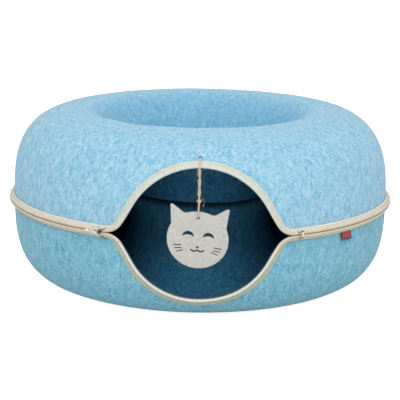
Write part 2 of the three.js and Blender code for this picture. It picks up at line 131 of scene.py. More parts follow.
def skin(name, grid, material, uv, closed_u=False, closed_v=False, caps=False):
    """A skin over a grid of points, which may close on itself either way. uv gives the map's place of
    a grid point, also for the one past the last where the grid is closed."""
    count_u, count_v = len(grid), len(grid[0])
    faces, corners = [], []
    for i in range(count_u if closed_u else count_u - 1):
        for j in range(count_v if closed_v else count_v - 1):
            quad = [(i, j), (i, j + 1), (i + 1, j + 1), (i + 1, j)]
            faces.append([(a % count_u) * count_v + b % count_v for a, b in quad])
            corners += [uv(a, b) for a, b in quad]
    if caps:
        first = list(range(count_v))
        last = [(count_u - 1) * count_v + j for j in reversed(range(count_v))]
        faces += [first, last]
        corners += [uv(0, 0)] * count_v + [uv(count_u - 1, 0)] * count_v
    mesh = bpy.data.meshes.new(name)
    mesh.from_pydata([p for row in grid for p in row], [], faces)
    layer = mesh.uv_layers.new(name="along")
    layer.data.foreach_set("uv", np.array(corners, np.float32).ravel())
    mesh.shade_smooth()
    return new_piece(name, mesh, material)


def frames_along(line):
    """The direction and two sides of each point of a line, turned as little as they can be."""
    side = Vector((1, 0.2, 0.1))
    found = []
    for i, point in enumerate(line):
        ahead = (line[min(i + 1, len(line) - 1)] - line[max(i - 1, 0)]).normalized()
        side = (side - ahead * side.dot(ahead)).normalized()
        found.append((point, side.copy(), ahead.cross(side)))
    return found


def twine(name, line, thickness, lay=0.0046, sides=14):
    """Two plies twisted together: a tube whose section is pinched on two sides, which turn."""
    grid, runs, run, before = [], [], 0.0, line[0]
    for point, side, across in frames_along(line):
        run += (point - before).length
        before = point
        runs.append(run)
        ring = []
        for k in range(sides):
            angle = 2 * math.pi * k / sides
            ply = abs(math.cos(angle - 2 * math.pi * run / lay))
            uneven = 0.94 + 0.12 * noise.noise(point * 900 + Vector((angle, 0, 0)))
            reach = thickness / 2 * (0.72 + 0.3 * ply) * uneven
            ring.append(point + side * math.cos(angle) * reach + across * math.sin(angle) * reach)
        grid.append(ring)
    return skin(
        name, grid, jute, lambda i, j: (runs[i] * 1000, j / sides + runs[i] / lay), closed_v=True, caps=True
    )


def fit(piece, finish, *solids):
    """The piece belongs to the part and stands for those solids, which are hidden. The finish is not used."""
    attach(piece, "root")
    if solids:
        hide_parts(*solids)


def new_material(name, roughness=0.9, **sockets):
    """A material with its shader. The other values go to the shader's sockets of those names."""
    material = bpy.data.materials.new(name)
    material.use_nodes = True
    shader = material.node_tree.nodes["Principled BSDF"]
    shader.inputs["Roughness"].default_value = roughness
    for socket, value in sockets.items():
        shader.inputs[socket.replace("_", " ")].default_value = value
    return material, material.node_tree, shader


def add_node(tree, kind, inputs=(), **settings):
    """A node with its settings. Inputs is a list of (socket, value or another node's output)."""
    node = tree.nodes.new(kind)
    for setting, value in settings.items():
        setattr(node, setting, value)
    for socket, value in inputs:
        if isinstance(value, bpy.types.NodeSocket):
            tree.links.new(value, node.inputs[socket])
        else:
            node.inputs[socket].default_value = value
    return node


def object_place(tree):
    return add_node(tree, "ShaderNodeTexCoord").outputs["Object"]


def map_place(tree):
    return add_node(tree, "ShaderNodeUVMap", uv_map="along").outputs["UV"]


def clouds(tree, place, scale, detail=4.0, **sockets):
    """Cloudy noise from 0 to 1, with about that many clouds to each unit of the place."""
    inputs = [("Vector", place), ("Scale", scale), ("Detail", detail), *sockets.items()]
    return add_node(tree, "ShaderNodeTexNoise", inputs).outputs["Fac"]


def ramp(tree, value, *stops):
    """A colour ramp over a value, with its stops as (place, colour)."""
    node = add_node(tree, "ShaderNodeValToRGB", [("Fac", value)])
    elements = node.color_ramp.elements
    while len(elements) < len(stops):
        elements.new(0.5)
    for element, (place, colour) in zip(elements, stops):
        element.position = place
        element.color = (*colour, 1)
    return node.outputs["Color"]


def bump(tree, shader, height, distance, strength=1.0):
    inputs = [("Height", height), ("Distance", distance), ("Strength", strength)]
    tree.links.new(add_node(tree, "ShaderNodeBump", inputs).outputs["Normal"], shader.inputs["Normal"])


def clouded(name, roughness, scale, detail, stops, relief=0.0, place=object_place, **sockets):
    """A material whose colour wanders between the stops. Gives the noise too, for other uses."""
    material, tree, shader = new_material(name, roughness, **sockets)
    cloud = clouds(tree, place(tree), scale, detail)
    tree.links.new(ramp(tree, cloud, *stops), shader.inputs["Base Color"])
    if relief:
        bump(tree, shader, cloud, relief)
    return material, cloud


def along_plies(tree):
    inputs = [("Vector", map_place(tree)), ("Scale", (0.9, 26, 1))]
    return add_node(tree, "ShaderNodeMapping", inputs).outputs["Vector"]


jute_tones = [(0.3, (0.44, 0.30, 0.17)), (0.5, (0.76, 0.60, 0.42)), (0.72, (0.92, 0.82, 0.66))]
jute, _ = clouded(
    "jute", 0.95, 1.0, 4.0, jute_tones, 0.0004, along_plies, Sheen_Weight=0.3, Sheen_Roughness=0.5
)

front_line = smooth_route(front_route, 0.0005)
back_line = smooth_route(back_route, 0.0005)
front_strand = twine("string_front", smooth_route(front_route, 0.0005, 0.75), JUTE)
back_strand = twine("string_back", smooth_route(back_route, 0.0005, 0.75), JUTE)

knot_line = []
for step in range(100):
    t = 2 * math.pi * step / 99
    x = 0.00085 * (math.sin(t) + 2 * math.sin(2 * t))
    z = 0.00095 * (math.cos(t) - 2 * math.cos(2 * t))
    knot_line.append(placed(-1, -274.9, 177.6) + Vector((x, 0.0009 * math.sin(3 * t), z)))
knot = twine("string_knot", knot_line, 0.0021, sides=10)
tails = [
    twine("string_tail_left", smooth_route(left_tail, 0.0006), 0.0004, sides=8),
    twine("string_tail_right", smooth_route(right_tail, 0.0006), 0.00032, sides=8),
]

# Loose fibres stand off the jute all along, and fan out where its two ends are cut.
chance = random.Random(5)
hairs = bmesh.new()


def piece_of(shape, name, material):
    """The piece that was drawn as a bmesh."""
    mesh = bpy.data.meshes.new(name)
    shape.to_mesh(mesh)
    return new_piece(name, mesh, material)


def close_round(shape, rings):
    """Faces between rings of points, and over both ends."""
    count = len(rings[0])
    for low, high in zip(rings, rings[1:]):
        for k in range(count):
            shape.faces.new((low[k], low[(k + 1) % count], high[(k + 1) % count], high[k]))
    shape.faces.new(rings[0][::-1])
    shape.faces.new(rings[-1])


def hair(root, way, length, thickness=0.00009, curl=0.35):
    """One fibre: a thin three-sided thread that bends a little as it leaves the string."""
    droop = Vector((chance.uniform(-1, 1), chance.uniform(-1, 1), -0.8)) * curl
    rings = []
    for k in range(5):
        t = k / 4
        centre = root + way * length * t + droop * length * t * t
        reach = thickness * (1 - 0.8 * t)
        ring = [(math.cos(a) * reach, math.sin(a) * reach) for a in (0, 2.1, 4.2)]
        rings.append([hairs.verts.new(centre + Vector((x, y * 0.6, y))) for x, y in ring])
    close_round(hairs, rings)


for line in (front_line[24:], back_line[30:]):  # without what lies in and on the felt
    for point, side, across in frames_along(line)[::2]:
        angle = chance.uniform(0, 2 * math.pi)
        out = side * math.cos(angle) + across * math.sin(angle)
        along = side.cross(across) * chance.uniform(-1.2, 1.2)
        hair(point + out * 0.0009, (out + along).normalized(), chance.uniform(0.001, 0.0034))
for height in (222, 219, 217.5, 216, 209, 196, 190):
    for _ in range(7):
        root = placed(-2 + chance.uniform(-0.3, 0.6), -278.2, height + chance.uniform(-1, 1))
        way = Vector((-1, chance.uniform(-0.6, 0.3), chance.uniform(-0.9, 0.7))).normalized()
        hair(root, way, chance.uniform(0.0015, 0.004), 0.00012)
for tail in (left_tail, right_tail):
    line = smooth_route(tail, 0.001)
    outward = 1 if tail is right_tail else -1
    for _ in range(6):
        way = Vector((outward * chance.uniform(-0.4, 0.8), chance.uniform(-0.5, 0.3), -chance.uniform(0.2, 1)))
        hair(chance.choice(line[-3:]), way.normalized(), chance.uniform(0.0015, 0.004), 0.00009, 0.6)
    for point in line:
        way = Vector([chance.uniform(-1, 1) for _ in range(3)]).normalized()
        hair(point + way * 0.0006, way, chance.uniform(0.001, 0.0025))
fibres = piece_of(hairs, "string_fibres", jute)

fit(front_strand, "jute", "cord_front")
fit(back_strand, "jute", "cord_back")
fit(knot, "jute", "cord_knot")
for piece in (*tails, fibres):
    fit(piece, "jute")

# Felt rings: pressed polyester felt, 4 mm thick, moulded in two halves. The upper one ends in the
# collar round the middle hole, and the lower one's inner wall goes up inside that collar.

FELT = 4
SEAM_Z = 130
SEAM_R = 292.5
HALF_GAP = 0.3
FELT_BACK = 4
CORNER_X = 130
FLANK = math.radians(60)
FILLET = 24
COLLAR_Z = 138
TUCK_Z = 162
STRING_HOLE_Z = 237.9
STRING_HOLE_R = 0.0026


def moulded_line(start, end, power, count=500):
    """A wall of the ring's section, upright at its start and level at its end."""
    turn = np.linspace(0, math.pi / 2, count)
    radius = end[0] + (start[0] - end[0]) * np.maximum(np.cos(turn), 0) ** (2 / power)
    height = start[1] + (end[1] - start[1]) * np.sin(turn) ** (2 / power)
    return np.column_stack([radius, height])


def arch_height(x, rise, grow):
    """How far the arch of a half lies from the zip's line at x, set back into the felt by grow: an
    arc, a straight flank, and a fillet to the zip's line."""
    x = abs(x)
    sine, cosine, tangent = math.sin(FLANK), math.cos(FLANK), math.tan(FLANK)
    fillet = FILLET - grow
    fillet_y = HALF_GAP + FILLET
    flank_x = CORNER_X - FILLET * sine
    flank_y = fillet_y - FILLET * cosine
    radius = (flank_x * tangent - rise + flank_y) / (sine * tangent + cosine - 1)
    middle = rise - radius
    radius += grow
    if x <= radius * sine:
        return middle + math.sqrt(radius**2 - x**2)
    if x <= CORNER_X - fillet * sine:
        return middle + radius * cosine - (x - radius * sine) * tangent
    if x <= CORNER_X:
        return fillet_y - math.sqrt(fillet**2 - (x - CORNER_X) ** 2)
    return HALF_GAP + grow


SAG_REACH = 115
SAG = [
    # degrees round the ring from the front, to the right positive, and how far the zip is above level
    (-180, 0), (-125, 0), (-88, -2.6), (-58, -0.4), (-28, -0.2), (4, -0.4), (27, -1.9), (56, -2),
    (88, -3.2), (130, 0), (180, 0),
]


def gently(share):
    """The same way from 0 to 1, with a slow start and a slow end."""
    return share * share * (3 - 2 * share)


def sag(around, z):
    """How far a place of the ring lies above the level shape: soft felt lets the zip dip at the sides,
    and less so the further a place is from the zip."""
    degrees = (math.degrees(around) + 180) % 360 - 180
    for (left, low), (right, high) in zip(SAG, SAG[1:]):
        if degrees <= right:
            share = (degrees - left) / (right - left)
            break
    near = max(0.0, 1 - abs(z - SEAM_Z) / SAG_REACH)
    return (low + (high - low) * gently(share)) * gently(near)


class Surface:
    """The outside of a moulded half: its section's line, with the run along it and its normals. Side
    is 1 for the upper half and -1 for the lower, and rise is the height of its arch."""

    def __init__(self, side, rise, wall, hole):
        outer, inner = moulded_line(*wall), moulded_line(*hole)[::-1]
        self.side, self.rise = side, rise
        self.crown = len(outer) - 1
        if side > 0:
            self.line = np.vstack([outer, inner[1:]])
        else:
            self.line = np.vstack([outer, inner, [[inner[-1][0], TUCK_Z]]])
            # between 96 and 132 mm up the wall draws in by 5 mm, to stand back behind the collar
            behind = np.clip((self.line[:, 1] - 96) / 36, 0, 1) * (self.line[:, 0] < 130)
            self.line[:, 0] -= 5 * gently(behind)
        step = np.diff(self.line, axis=0)
        self.run = np.concatenate([[0], np.cumsum(np.hypot(*step.T))])
        slope = np.gradient(self.line, axis=0)
        slope /= np.hypot(*slope.T)[:, None]
        self.normal = np.column_stack([slope[:, 1], -slope[:, 0]]) * self.side

    def run_at(self, z, wall=True):
        """The run where the outer wall, or the wall of the middle hole, is at that height."""
        part = slice(0, self.crown + 1) if wall else slice(self.crown + 1, None)
        heights = self.line[part, 1] * self.side
        runs = self.run[part]
        order = np.argsort(heights)
        return float(np.interp(z * self.side, heights[order], runs[order]))

    def radius_at(self, z):
        """The outer wall's radius at that height."""
        return np.interp(self.run_at(z), self.run, self.line[:, 0])

    def at(self, around, run, lift=0.0, drawn=False):
        """The point at a place round the ring and along the section, lifted off the felt. A drawn
        point lies on the plain shape, and the others also have its unevenness."""
        radius, z = (np.interp(run, self.run, self.line[:, k]) for k in (0, 1))
        out, up = (np.interp(run, self.run, self.normal[:, k]) for k in (0, 1))
        dip = 0.0
        if not drawn:
            lift += self.uneven(around, run, z)
            dip = sag(around, z)
        radius += out * lift
        return placed(math.sin(around) * radius, -math.cos(around) * radius, z + up * lift + dip)

    def uneven(self, around, run, z):
        """Moulded felt is nowhere quite true: long, shallow dents away from the zip."""
        away = min(1.0, max(0.0, (abs(z - SEAM_Z) - 10) / 40)) * min(1.0, z / 25)
        place = Vector((math.sin(around) * 4, math.cos(around) * 4, run / 70 + self.side))
        return 0.8 * away * noise.noise(place)

    def edge_z(self, around, grow):
        """The height of the half's free edge at a place round the ring."""
        z = SEAM_Z + self.side * (HALF_GAP + grow)
        if math.cos(around) > 0:
            for _ in range(30):
                x = math.sin(around) * self.radius_at(z)
                z = 0.5 * z + 0.5 * (SEAM_Z + self.side * arch_height(x, self.rise, grow))
        return z


def felt_half(name, surface, end_z, material, within):
    """The shell: its section at each place round the ring, out along the outside and back within."""
    turns = [math.radians(a) for a in (*np.arange(-32, 32, 0.5), *range(32, 328, 2))]
    crown, end = surface.run[surface.crown], surface.run_at(end_z, wall=False)
    grid = []
    for around in turns:
        start = surface.run_at(surface.edge_z(around, FELT_BACK))
        runs = [*np.linspace(start, crown, 30), *np.linspace(crown, end, 34)[1:]]
        outside = [surface.at(around, run) for run in runs]
        inside = [surface.at(around, run, -FELT) for run in reversed(runs)]
        grid.append(outside + inside if surface.side > 0 else (outside + inside)[::-1])
    shell = skin(name, grid, material, lambda i, j: (0, 0), closed_u=True, closed_v=True)
    shell.data.materials.append(within)
    count = len(runs)
    # faces that face into the tunnel take the second material, the painted-shade copy of the felt
    for face in shell.data.polygons:
        row = face.index % (2 * count)
        facing_in = count <= row < 2 * count - 1 if surface.side > 0 else row < count - 1
        face.material_index = int(facing_in)
    return shell


def pick(*pieces):
    """Selects those pieces alone, the first of them active."""
    bpy.ops.object.select_all(action="DESELECT")
    for piece in pieces:
        piece.select_set(True)
    bpy.context.view_layer.objects.active = pieces[0]


def apply_modifier(piece, kind, **settings):
    modifier = piece.modifiers.new(kind.lower(), kind)
    for setting, value in settings.items():
        setattr(modifier, setting, value)
    pick(piece)
    bpy.ops.object.modifier_apply(modifier=modifier.name)


def bevel(piece, width, segments=2, degrees=30):
    """Rounds the edges where faces meet at more than that angle."""
    limit = math.radians(degrees)
    apply_modifier(piece, "BEVEL", width=width, segments=segments, limit_method="ANGLE", angle_limit=limit)


def combine(piece, other, operation="DIFFERENCE"):
    """Cuts the other shape out of the piece, or joins it to it, and removes it."""
    apply_modifier(piece, "BOOLEAN", operation=operation, object=other, solver="EXACT")
    bpy.data.objects.remove(other)


def smooth_faces(piece, degrees=38):
    """Faces are smooth, apart from where they meet at a sharper angle."""
    pick(piece)
    bpy.ops.object.shade_smooth_by_angle(angle=math.radians(degrees))


def mix(tree, share, low, high, blend="MIX"):
    inputs = [("Factor", share), (6, low), (7, high)]
    return add_node(tree, "ShaderNodeMix", inputs, data_type="RGBA", blend_type=blend).outputs[2]


def math_node(tree, operation, *values):
    return add_node(tree, "ShaderNodeMath", list(enumerate(values)), operation=operation).outputs[0]


def times(tree, a, b):
    return math_node(tree, "MULTIPLY", a, b)


def vector_node(tree, operation, *values):
    return add_node(tree, "ShaderNodeVectorMath", list(enumerate(values)), operation=operation).outputs[0]


def between(tree, value, start, end, kind="LINEAR"):
    """Rises from 0 to 1 while the value goes from start to end, and stays level past both."""
    inputs = [("Value", value), ("From Min", start), ("From Max", end)]
    return add_node(tree, "ShaderNodeMapRange", inputs, interpolation_type=kind).outputs["Result"]


# Felt's fibres: streaks of three leans cross one another and give a tone from deep to pale, and the
# hue drifts a little. Size is about the width of the broadest streaks in metres.
felt_fibres = bpy.data.node_groups.new("felt fibres", "ShaderNodeTree")
for way, kind, names in (
    ("INPUT", "NodeSocketFloat", ("Size", "Hue drift")),
    ("INPUT", "NodeSocketColor", ("Deep", "Base", "Pale")),
    ("OUTPUT", "NodeSocketColor", ("Color",)),
    ("OUTPUT", "NodeSocketFloat", ("Height",)),
):
    for name in names:
        felt_fibres.interface.new_socket(name, in_out=way, socket_type=kind)
given = felt_fibres.nodes.new("NodeGroupInput").outputs
result = felt_fibres.nodes.new("NodeGroupOutput").inputs
where = object_place(felt_fibres)
per_metre = math_node(felt_fibres, "DIVIDE", 1.0, given["Size"])
curl = clouds(felt_fibres, where, 90.0, 1.0).node.outputs["Color"]
curl = vector_node(felt_fibres, "SUBTRACT", curl, (0.5, 0.5, 0.5))
curled = vector_node(felt_fibres, "ADD", where, vector_node(felt_fibres, "MULTIPLY", curl, (0.012,) * 3))
tone = 0.0
for turned, stretch in (
    ((0.0, 0.5, 0.2), (1.0, 1.0, 0.36)),
    ((0.2, -0.3, 0.9), (1.0, 0.8, 0.4)),
    ((-0.4, 0.2, -0.4), (1.1, 1.1, 0.8)),
):
    inputs = [("Vector", curled), ("Rotation", turned), ("Scale", stretch)]
    lie = add_node(felt_fibres, "ShaderNodeMapping", inputs).outputs["Vector"]
    tone = math_node(felt_fibres, "ADD", clouds(felt_fibres, lie, per_metre, Roughness=0.85), tone)
colour = mix(felt_fibres, between(felt_fibres, tone, 1.24, 1.5), given["Deep"], given["Base"])
colour = mix(felt_fibres, between(felt_fibres, tone, 1.5, 1.76), colour, given["Pale"])
hue = between(felt_fibres, clouds(felt_fibres, curled, 170.0, 3.0, Roughness=0.75), 0.36, 0.64)
hue = mix(felt_fibres, hue, (0.89, 1.01, 0.985, 1), (1.09, 0.985, 1.015, 1))
colour = mix(felt_fibres, given["Hue drift"], colour, mix(felt_fibres, 1.0, colour, hue, "MULTIPLY"))
felt_fibres.links.new(colour, result["Color"])
felt_fibres.links.new(tone, result["Height"])


def felt_material(name, deep, base, pale, size=0.0055, relief=0.0005, sheen=0.2, drift=1.0):
    """Felt in three tones, over fibres of that size in metres that stand out by the relief."""
    material, tree, shader = new_material(
        name, 0.95, Specular_IOR_Level=0.15,
        Sheen_Weight=sheen, Sheen_Roughness=0.45, Sheen_Tint=(0.95, 0.97, 1, 1),
    )
    inputs = [("Size", size), ("Hue drift", drift)]
    inputs += [("Deep", (*deep, 1)), ("Base", (*base, 1)), ("Pale", (*pale, 1))]
    fibre = add_node(tree, "ShaderNodeGroup", inputs, node_tree=felt_fibres)
    tree.links.new(fibre.outputs["Color"], shader.inputs["Base Color"])
    bump(tree, shader, fibre.outputs["Height"], relief, 0.7)
    return material


upper_blue = felt_material("felt_upper", (0.165, 0.445, 0.65), (0.335, 0.605, 0.77), (0.50, 0.75, 0.88))
# Both halves are one felt; the lower half's deeper blue is partly painted shade.
lower_blue = felt_material("felt_lower", (0.085, 0.37, 0.54), (0.23, 0.52, 0.645), (0.37, 0.66, 0.75))
# Painted shade: the faces inside the tunnel of both halves take this much darker, bluer copy of the same felt.
inner_blue_painted_shade = felt_material(
    "felt_within_painted_shade", (0.025, 0.17, 0.32), (0.06, 0.28, 0.46), (0.13, 0.41, 0.57), sheen=0.0
)


def ring_place(tree):
    """How far a place of the felt is from the ring's axis, and how high, in metres."""
    where = object_place(tree)
    height = add_node(tree, "ShaderNodeSeparateXYZ", [("Vector", where)]).outputs["Z"]
    level = vector_node(tree, "MULTIPLY", vector_node(tree, "SUBTRACT", where, (0, axis_y, 0)), (1, 1, 0))
    return vector_node(tree, "LENGTH", level).node.outputs["Value"], height


def paint_shade_and_scorch(material, share, colour):
    """Mixes that colour into the felt's own by a share from 0 to 1: painted shade, and scorch."""
    tree = material.node_tree
    base = tree.nodes["Principled BSDF"].inputs["Base Color"]
    tree.links.new(mix(tree, share, base.links[0].from_socket, (*colour, 1)), base)


# Painted shadow: under the collar's edge the lower wall stands back, and the strip of it just below
# that edge is painted near black. Painted shade: the felt of the middle hole's wall is painted a
# little deeper in tone.
tree = inner_blue_painted_shade.node_tree
radius, height = ring_place(tree)
# painted shadow under the collar: near black from 131 mm up, fading out by 119 mm
under = between(tree, height, 0.119, 0.131, "SMOOTHSTEP")
collar_shadow = times(tree, under, between(tree, radius, 0.1035, 0.1025, "SMOOTHSTEP"))
paint_shade_and_scorch(inner_blue_painted_shade, times(tree, collar_shadow, 0.92), (0.004, 0.02, 0.03))
# painted shade: the middle hole's wall darkens towards the axis, from 185 mm out to 145 mm
tree = upper_blue.node_tree
radius, _ = ring_place(tree)
paint_shade_and_scorch(upper_blue, times(tree, between(tree, radius, 0.185, 0.145, "SMOOTHSTEP"), 0.40), (0.08, 0.38, 0.62))

upper = Surface(1, 94.7, ((SEAM_R, SEAM_Z), (181.5, 264), 2.8), ((105, 118), (181.5, 264), 1.8))
lower = Surface(-1, 93.4, ((SEAM_R, SEAM_Z), (192, 0), 3.0), ((99, 150), (158, 0), 1.8))
upper_felt = felt_half("felt_upper_half", upper, COLLAR_Z, upper_blue, inner_blue_painted_shade)
lower_felt = felt_half("felt_lower_half", lower, TUCK_Z, lower_blue, inner_blue_painted_shade)
for half in (upper_felt, lower_felt):
    bevel(half, 0.0008, degrees=50)

hole_run = upper.run_at(STRING_HOLE_Z)
through = (upper.at(0, hole_run, 8) - upper.at(0, hole_run, -12)).normalized()
bpy.ops.mesh.primitive_cylinder_add(
    vertices=20, radius=STRING_HOLE_R, depth=0.02, location=upper.at(0, hole_run, -2),
    rotation=through.to_track_quat("Z", "Y").to_euler(),
)
combine(upper_felt, bpy.context.active_object)
for half in (upper_felt, lower_felt):
    smooth_faces(half)

fit(upper_felt, "felt_upper", "felt_top")
fit(lower_felt, "felt_lower", "felt_bottom")

# Zip tapes: woven cream polyester, one sewn to the edge of each half. Where the zip is shut they
# lean out and meet as a ridge, and round the mouth they lie flat with a rolled inner edge.

TAPE_EASE = 40
tape_shape = [
    # shut (in, up) and open (in, up), in millimetres from the free edge and off the felt
    ((0.0, 3.9), (0.2, -0.9)),
    ((0.0, 5.4), (0.0, 0.3)),
    ((0.2, 6.5), (0.1, 1.6)),
    ((0.8, 7.3), (0.8, 2.5)),
    ((1.9, 7.6), (2.0, 2.7)),
    ((2.8, 7.2), (3.0, 2.2)),
    ((3.6, 6.2), (3.7, 1.5)),
    ((4.4, 5.3), (4.6, 1.5)),
    ((5.4, 4.5), (5.8, 1.6)),
    ((6.2, 3.7), (6.8, 1.4)),
    ((7.0, 2.9), (7.8, 1.4)),
    ((7.7, 2.3), (9.1, 1.6)),
    ((8.1, 2.2), (9.7, 1.9)),
    ((8.6, 1.7), (10.3, 1.6)),
    ((8.6, 0.3), (10.3, 0.3)),
    ((5.6, 0.3), (4.6, 0.3)),
    ((3.2, 3.0), (3.4, -1.6)),
    ((1.6, 3.2), (1.6, -1.9)),
]


def runs_along(points):
    """How far each point lies along the line, in millimetres."""
    return np.concatenate([[0], np.cumsum([(b - a).length * 1000 for a, b in zip(points, points[1:])])])


def point_at(points, runs, run):
    """The point that far along the line, and the number of the given point before it."""
    k = min(int(np.searchsorted(runs, run, side="right")) - 1, len(points) - 2)
    return points[k].lerp(points[k + 1], (run - runs[k]) / (runs[k + 1] - runs[k])), k


def tape_stations(surface, fine=2.4, coarse=6.0):
    """Places along a tape's free edge, once round: (place round the ring, height, how far open, run)."""
    arounds, zs, points = [], [], []
    for x in np.linspace(-CORNER_X, CORNER_X, 1200):
        z = SEAM_Z + surface.side * arch_height(x, surface.rise, 0)
        around = math.asin(x / surface.radius_at(z))
        arounds.append(around)
        zs.append(z)
        points.append(surface.at(around, surface.run_at(z), drawn=True))
    runs = runs_along(points)
    stations = []
    for run in np.linspace(0, runs[-1], round(runs[-1] / fine)):
        opened = gently(min(1.0, min(run, runs[-1] - run) / TAPE_EASE))
        stations.append((np.interp(run, runs, arounds), np.interp(run, runs, zs), opened, run))
    start, end = arounds[-1], arounds[0] + 2 * math.pi
    count = round((end - start) * SEAM_R / coarse)
    for k in range(1, count):
        around = start + (end - start) * k / count
        stations.append((around, SEAM_Z + surface.side * HALF_GAP, 0.0, runs[-1] + (around - start) * SEAM_R))
    return stations


def tape_point(surface, spot, into, opened, shape):
    """A point of the tape's section: in from its free edge, and up off the felt."""
    (shut_in, shut_up), (open_in, open_up) = shape
    inward = shut_in + (open_in - shut_in) * opened
    if surface.side < 0:  # round the mouth the lower tape's rolled edge sits 0.8 mm further in
        inward += 0.8 * opened * max(0.0, 1 - inward / 9)
    lift = shut_up + (open_up - shut_up) * opened
    x, y, z = (spot + into * inward / 1000 - Vector((0, axis_y, 0))) * 1000
    return surface.at(math.atan2(x, -y), surface.run_at(z), lift)


def tape_frames(surface, stations):
    """Each station's point on the felt, and the way from the free edge into the felt."""
    spots = [surface.at(around, surface.run_at(z), drawn=True) for around, z, _, _ in stations]
    found = []
    for i, (around, z, opened, run) in enumerate(stations):
        along = spots[(i + 1) % len(spots)] - spots[i - 1]
        lift = surface.at(around, surface.run_at(z), 1.0, drawn=True) - spots[i]
        found.append((spots[i], (lift.cross(along) * surface.side).normalized(), opened, run))
    return found


def rounded(section):
    """The section's corners cut off once, which doubles its points."""
    found = []
    for i, this in enumerate(section):
        after = section[(i + 1) % len(section)]
        for share in (0.25, 0.75):
            found.append(tuple(tuple(a + (b - a) * share for a, b in zip(p, q)) for p, q in zip(this, after)))
    return found


def zip_tape(name, surface, material):
    frames = tape_frames(surface, tape_stations(surface))
    section = rounded(tape_shape)
    runs = [run for _, _, _, run in frames]
    grid = []
    for spot, into, opened, run in frames:
        ring = []
        for (shut_in, shut_up), (open_in, open_up) in section:
            ripple = 0.12 * noise.noise(Vector((run / 9, open_in / 3, surface.side * 7)))
            shape = ((shut_in, shut_up + ripple), (open_in, open_up + ripple))
            ring.append(tape_point(surface, spot, into, opened, shape))
        grid.append(ring if surface.side < 0 else ring[::-1])
    widths = [open_in if open_up > 0 else -1.0 for _, (open_in, open_up) in section]
    if surface.side > 0:
        widths.reverse()
    count = len(widths)
    runs.append(runs[-1] + 6)
    tape = skin(
        name, grid, material, lambda i, j: (runs[i], widths[j % count]), closed_u=True, closed_v=True
    )
    shares = tape.data.attributes.new("opened", "FLOAT", "POINT")
    shares.data.foreach_set("value", [opened for _, _, opened, _ in frames for _ in range(count)])
    return tape


def wave(tree, value, length):
    """Goes up and down between -1 and 1, once in each length."""
    return math_node(tree, "SINE", times(tree, value, 2 * math.pi / length))


def tape_material(name, roll, band, ridge, foot, dark):
    """Woven tape: cross ribs 1.4 mm apart over a fine weave, with a sewn groove. Its colour runs from
    the rolled edge to the band beside it, and from ridge to foot where the zip is shut, steps that are
    partly painted light and shade. Dark is how deep the painted shadow in the slit between the shut
    tapes is. The map holds millimetres: along the tape, and in from its free edge."""
    material, tree, shader = new_material(name, 0.8, Sheen_Weight=0.25, Sheen_Roughness=0.4)
    at = map_place(tree)
    apart = add_node(tree, "ShaderNodeSeparateXYZ", [("Vector", at)])
    along, across = apart.outputs["X"], apart.outputs["Y"]
    ribs = wave(tree, math_node(tree, "ADD", along, times(tree, across, 0.45)), 1.4)
    weave = times(tree, wave(tree, along, 0.55), wave(tree, across, 0.6))
    relief = math_node(tree, "ADD", times(tree, ribs, 0.6), times(tree, weave, 0.4))
    opened = add_node(tree, "ShaderNodeAttribute", attribute_name="opened").outputs["Fac"]
    closed = math_node(tree, "SUBTRACT", 1.0, opened)
    shut_tone = mix(tree, between(tree, across, 2.0, 8.0), (*ridge, 1), (*foot, 1))
    open_tone = mix(tree, between(tree, across, 3.0, 4.0), (*roll, 1), (*band, 1))
    colour = mix(tree, opened, shut_tone, open_tone)
    from_groove = math_node(tree, "ABSOLUTE", math_node(tree, "SUBTRACT", across, 7.0))
    groove = between(tree, from_groove, 0.9, 0.2)
    colour = mix(tree, times(tree, groove, 0.12), colour, (0.50, 0.42, 0.30, 1))
    lines = math_node(tree, "MAXIMUM", wave(tree, across, 2.3), 0.0)
    lines = times(tree, math_node(tree, "POWER", lines, 5.0), closed)
    colour = mix(tree, times(tree, lines, 0.2), colour, (0.36, 0.26, 0.14, 1))
    # painted shadow in the slit between the shut tapes
    slit_shadow = times(tree, between(tree, across, 1.3, 0.8), closed)
    colour = mix(tree, times(tree, slit_shadow, dark), colour, (0.09, 0.06, 0.04, 1))
    tone = math_node(tree, "ADD", times(tree, relief, 0.14), clouds(tree, at, 0.16))
    shade = ramp(tree, tone, (0.3, (0.88, 0.87, 0.85)), (0.62, (1, 1, 1)))
    tree.links.new(mix(tree, 1.0, colour, shade, "MULTIPLY"), shader.inputs["Base Color"])
    bump(tree, shader, relief, 0.00018)
    return material


# Both tapes are one cream cloth. Their tone steps are partly painted light and shade: the lower roll is
# painted lighter and its band darker, and the upper tape darker at its ridge by the slit.
upper_cream = tape_material(
    "zip_tape_upper", (0.80, 0.85, 0.77), (0.80, 0.84, 0.75), (0.76, 0.66, 0.50), (0.97, 0.94, 0.84), 0.4
)
lower_cream = tape_material(
    "zip_tape_lower", (0.93, 0.97, 0.89), (0.60, 0.59, 0.44), (0.88, 0.77, 0.58), (0.80, 0.75, 0.60), 0.0
)
upper_tape = zip_tape("zip_tape_upper", upper, upper_cream)
lower_tape = zip_tape("zip_tape_lower", lower, lower_cream)
fit(upper_tape, "zip_tape", "zip_tape_top")
fit(lower_tape, "zip_tape", "zip_tape_bottom")

# Zip coil: a nylon coil sewn under each tape's free edge. Its turns show in the slit between the
# shut tapes and along the inside of the open mouth.

COIL_PITCH = 1.4
COIL_R = 0.001
NYLON_R = 0.0003


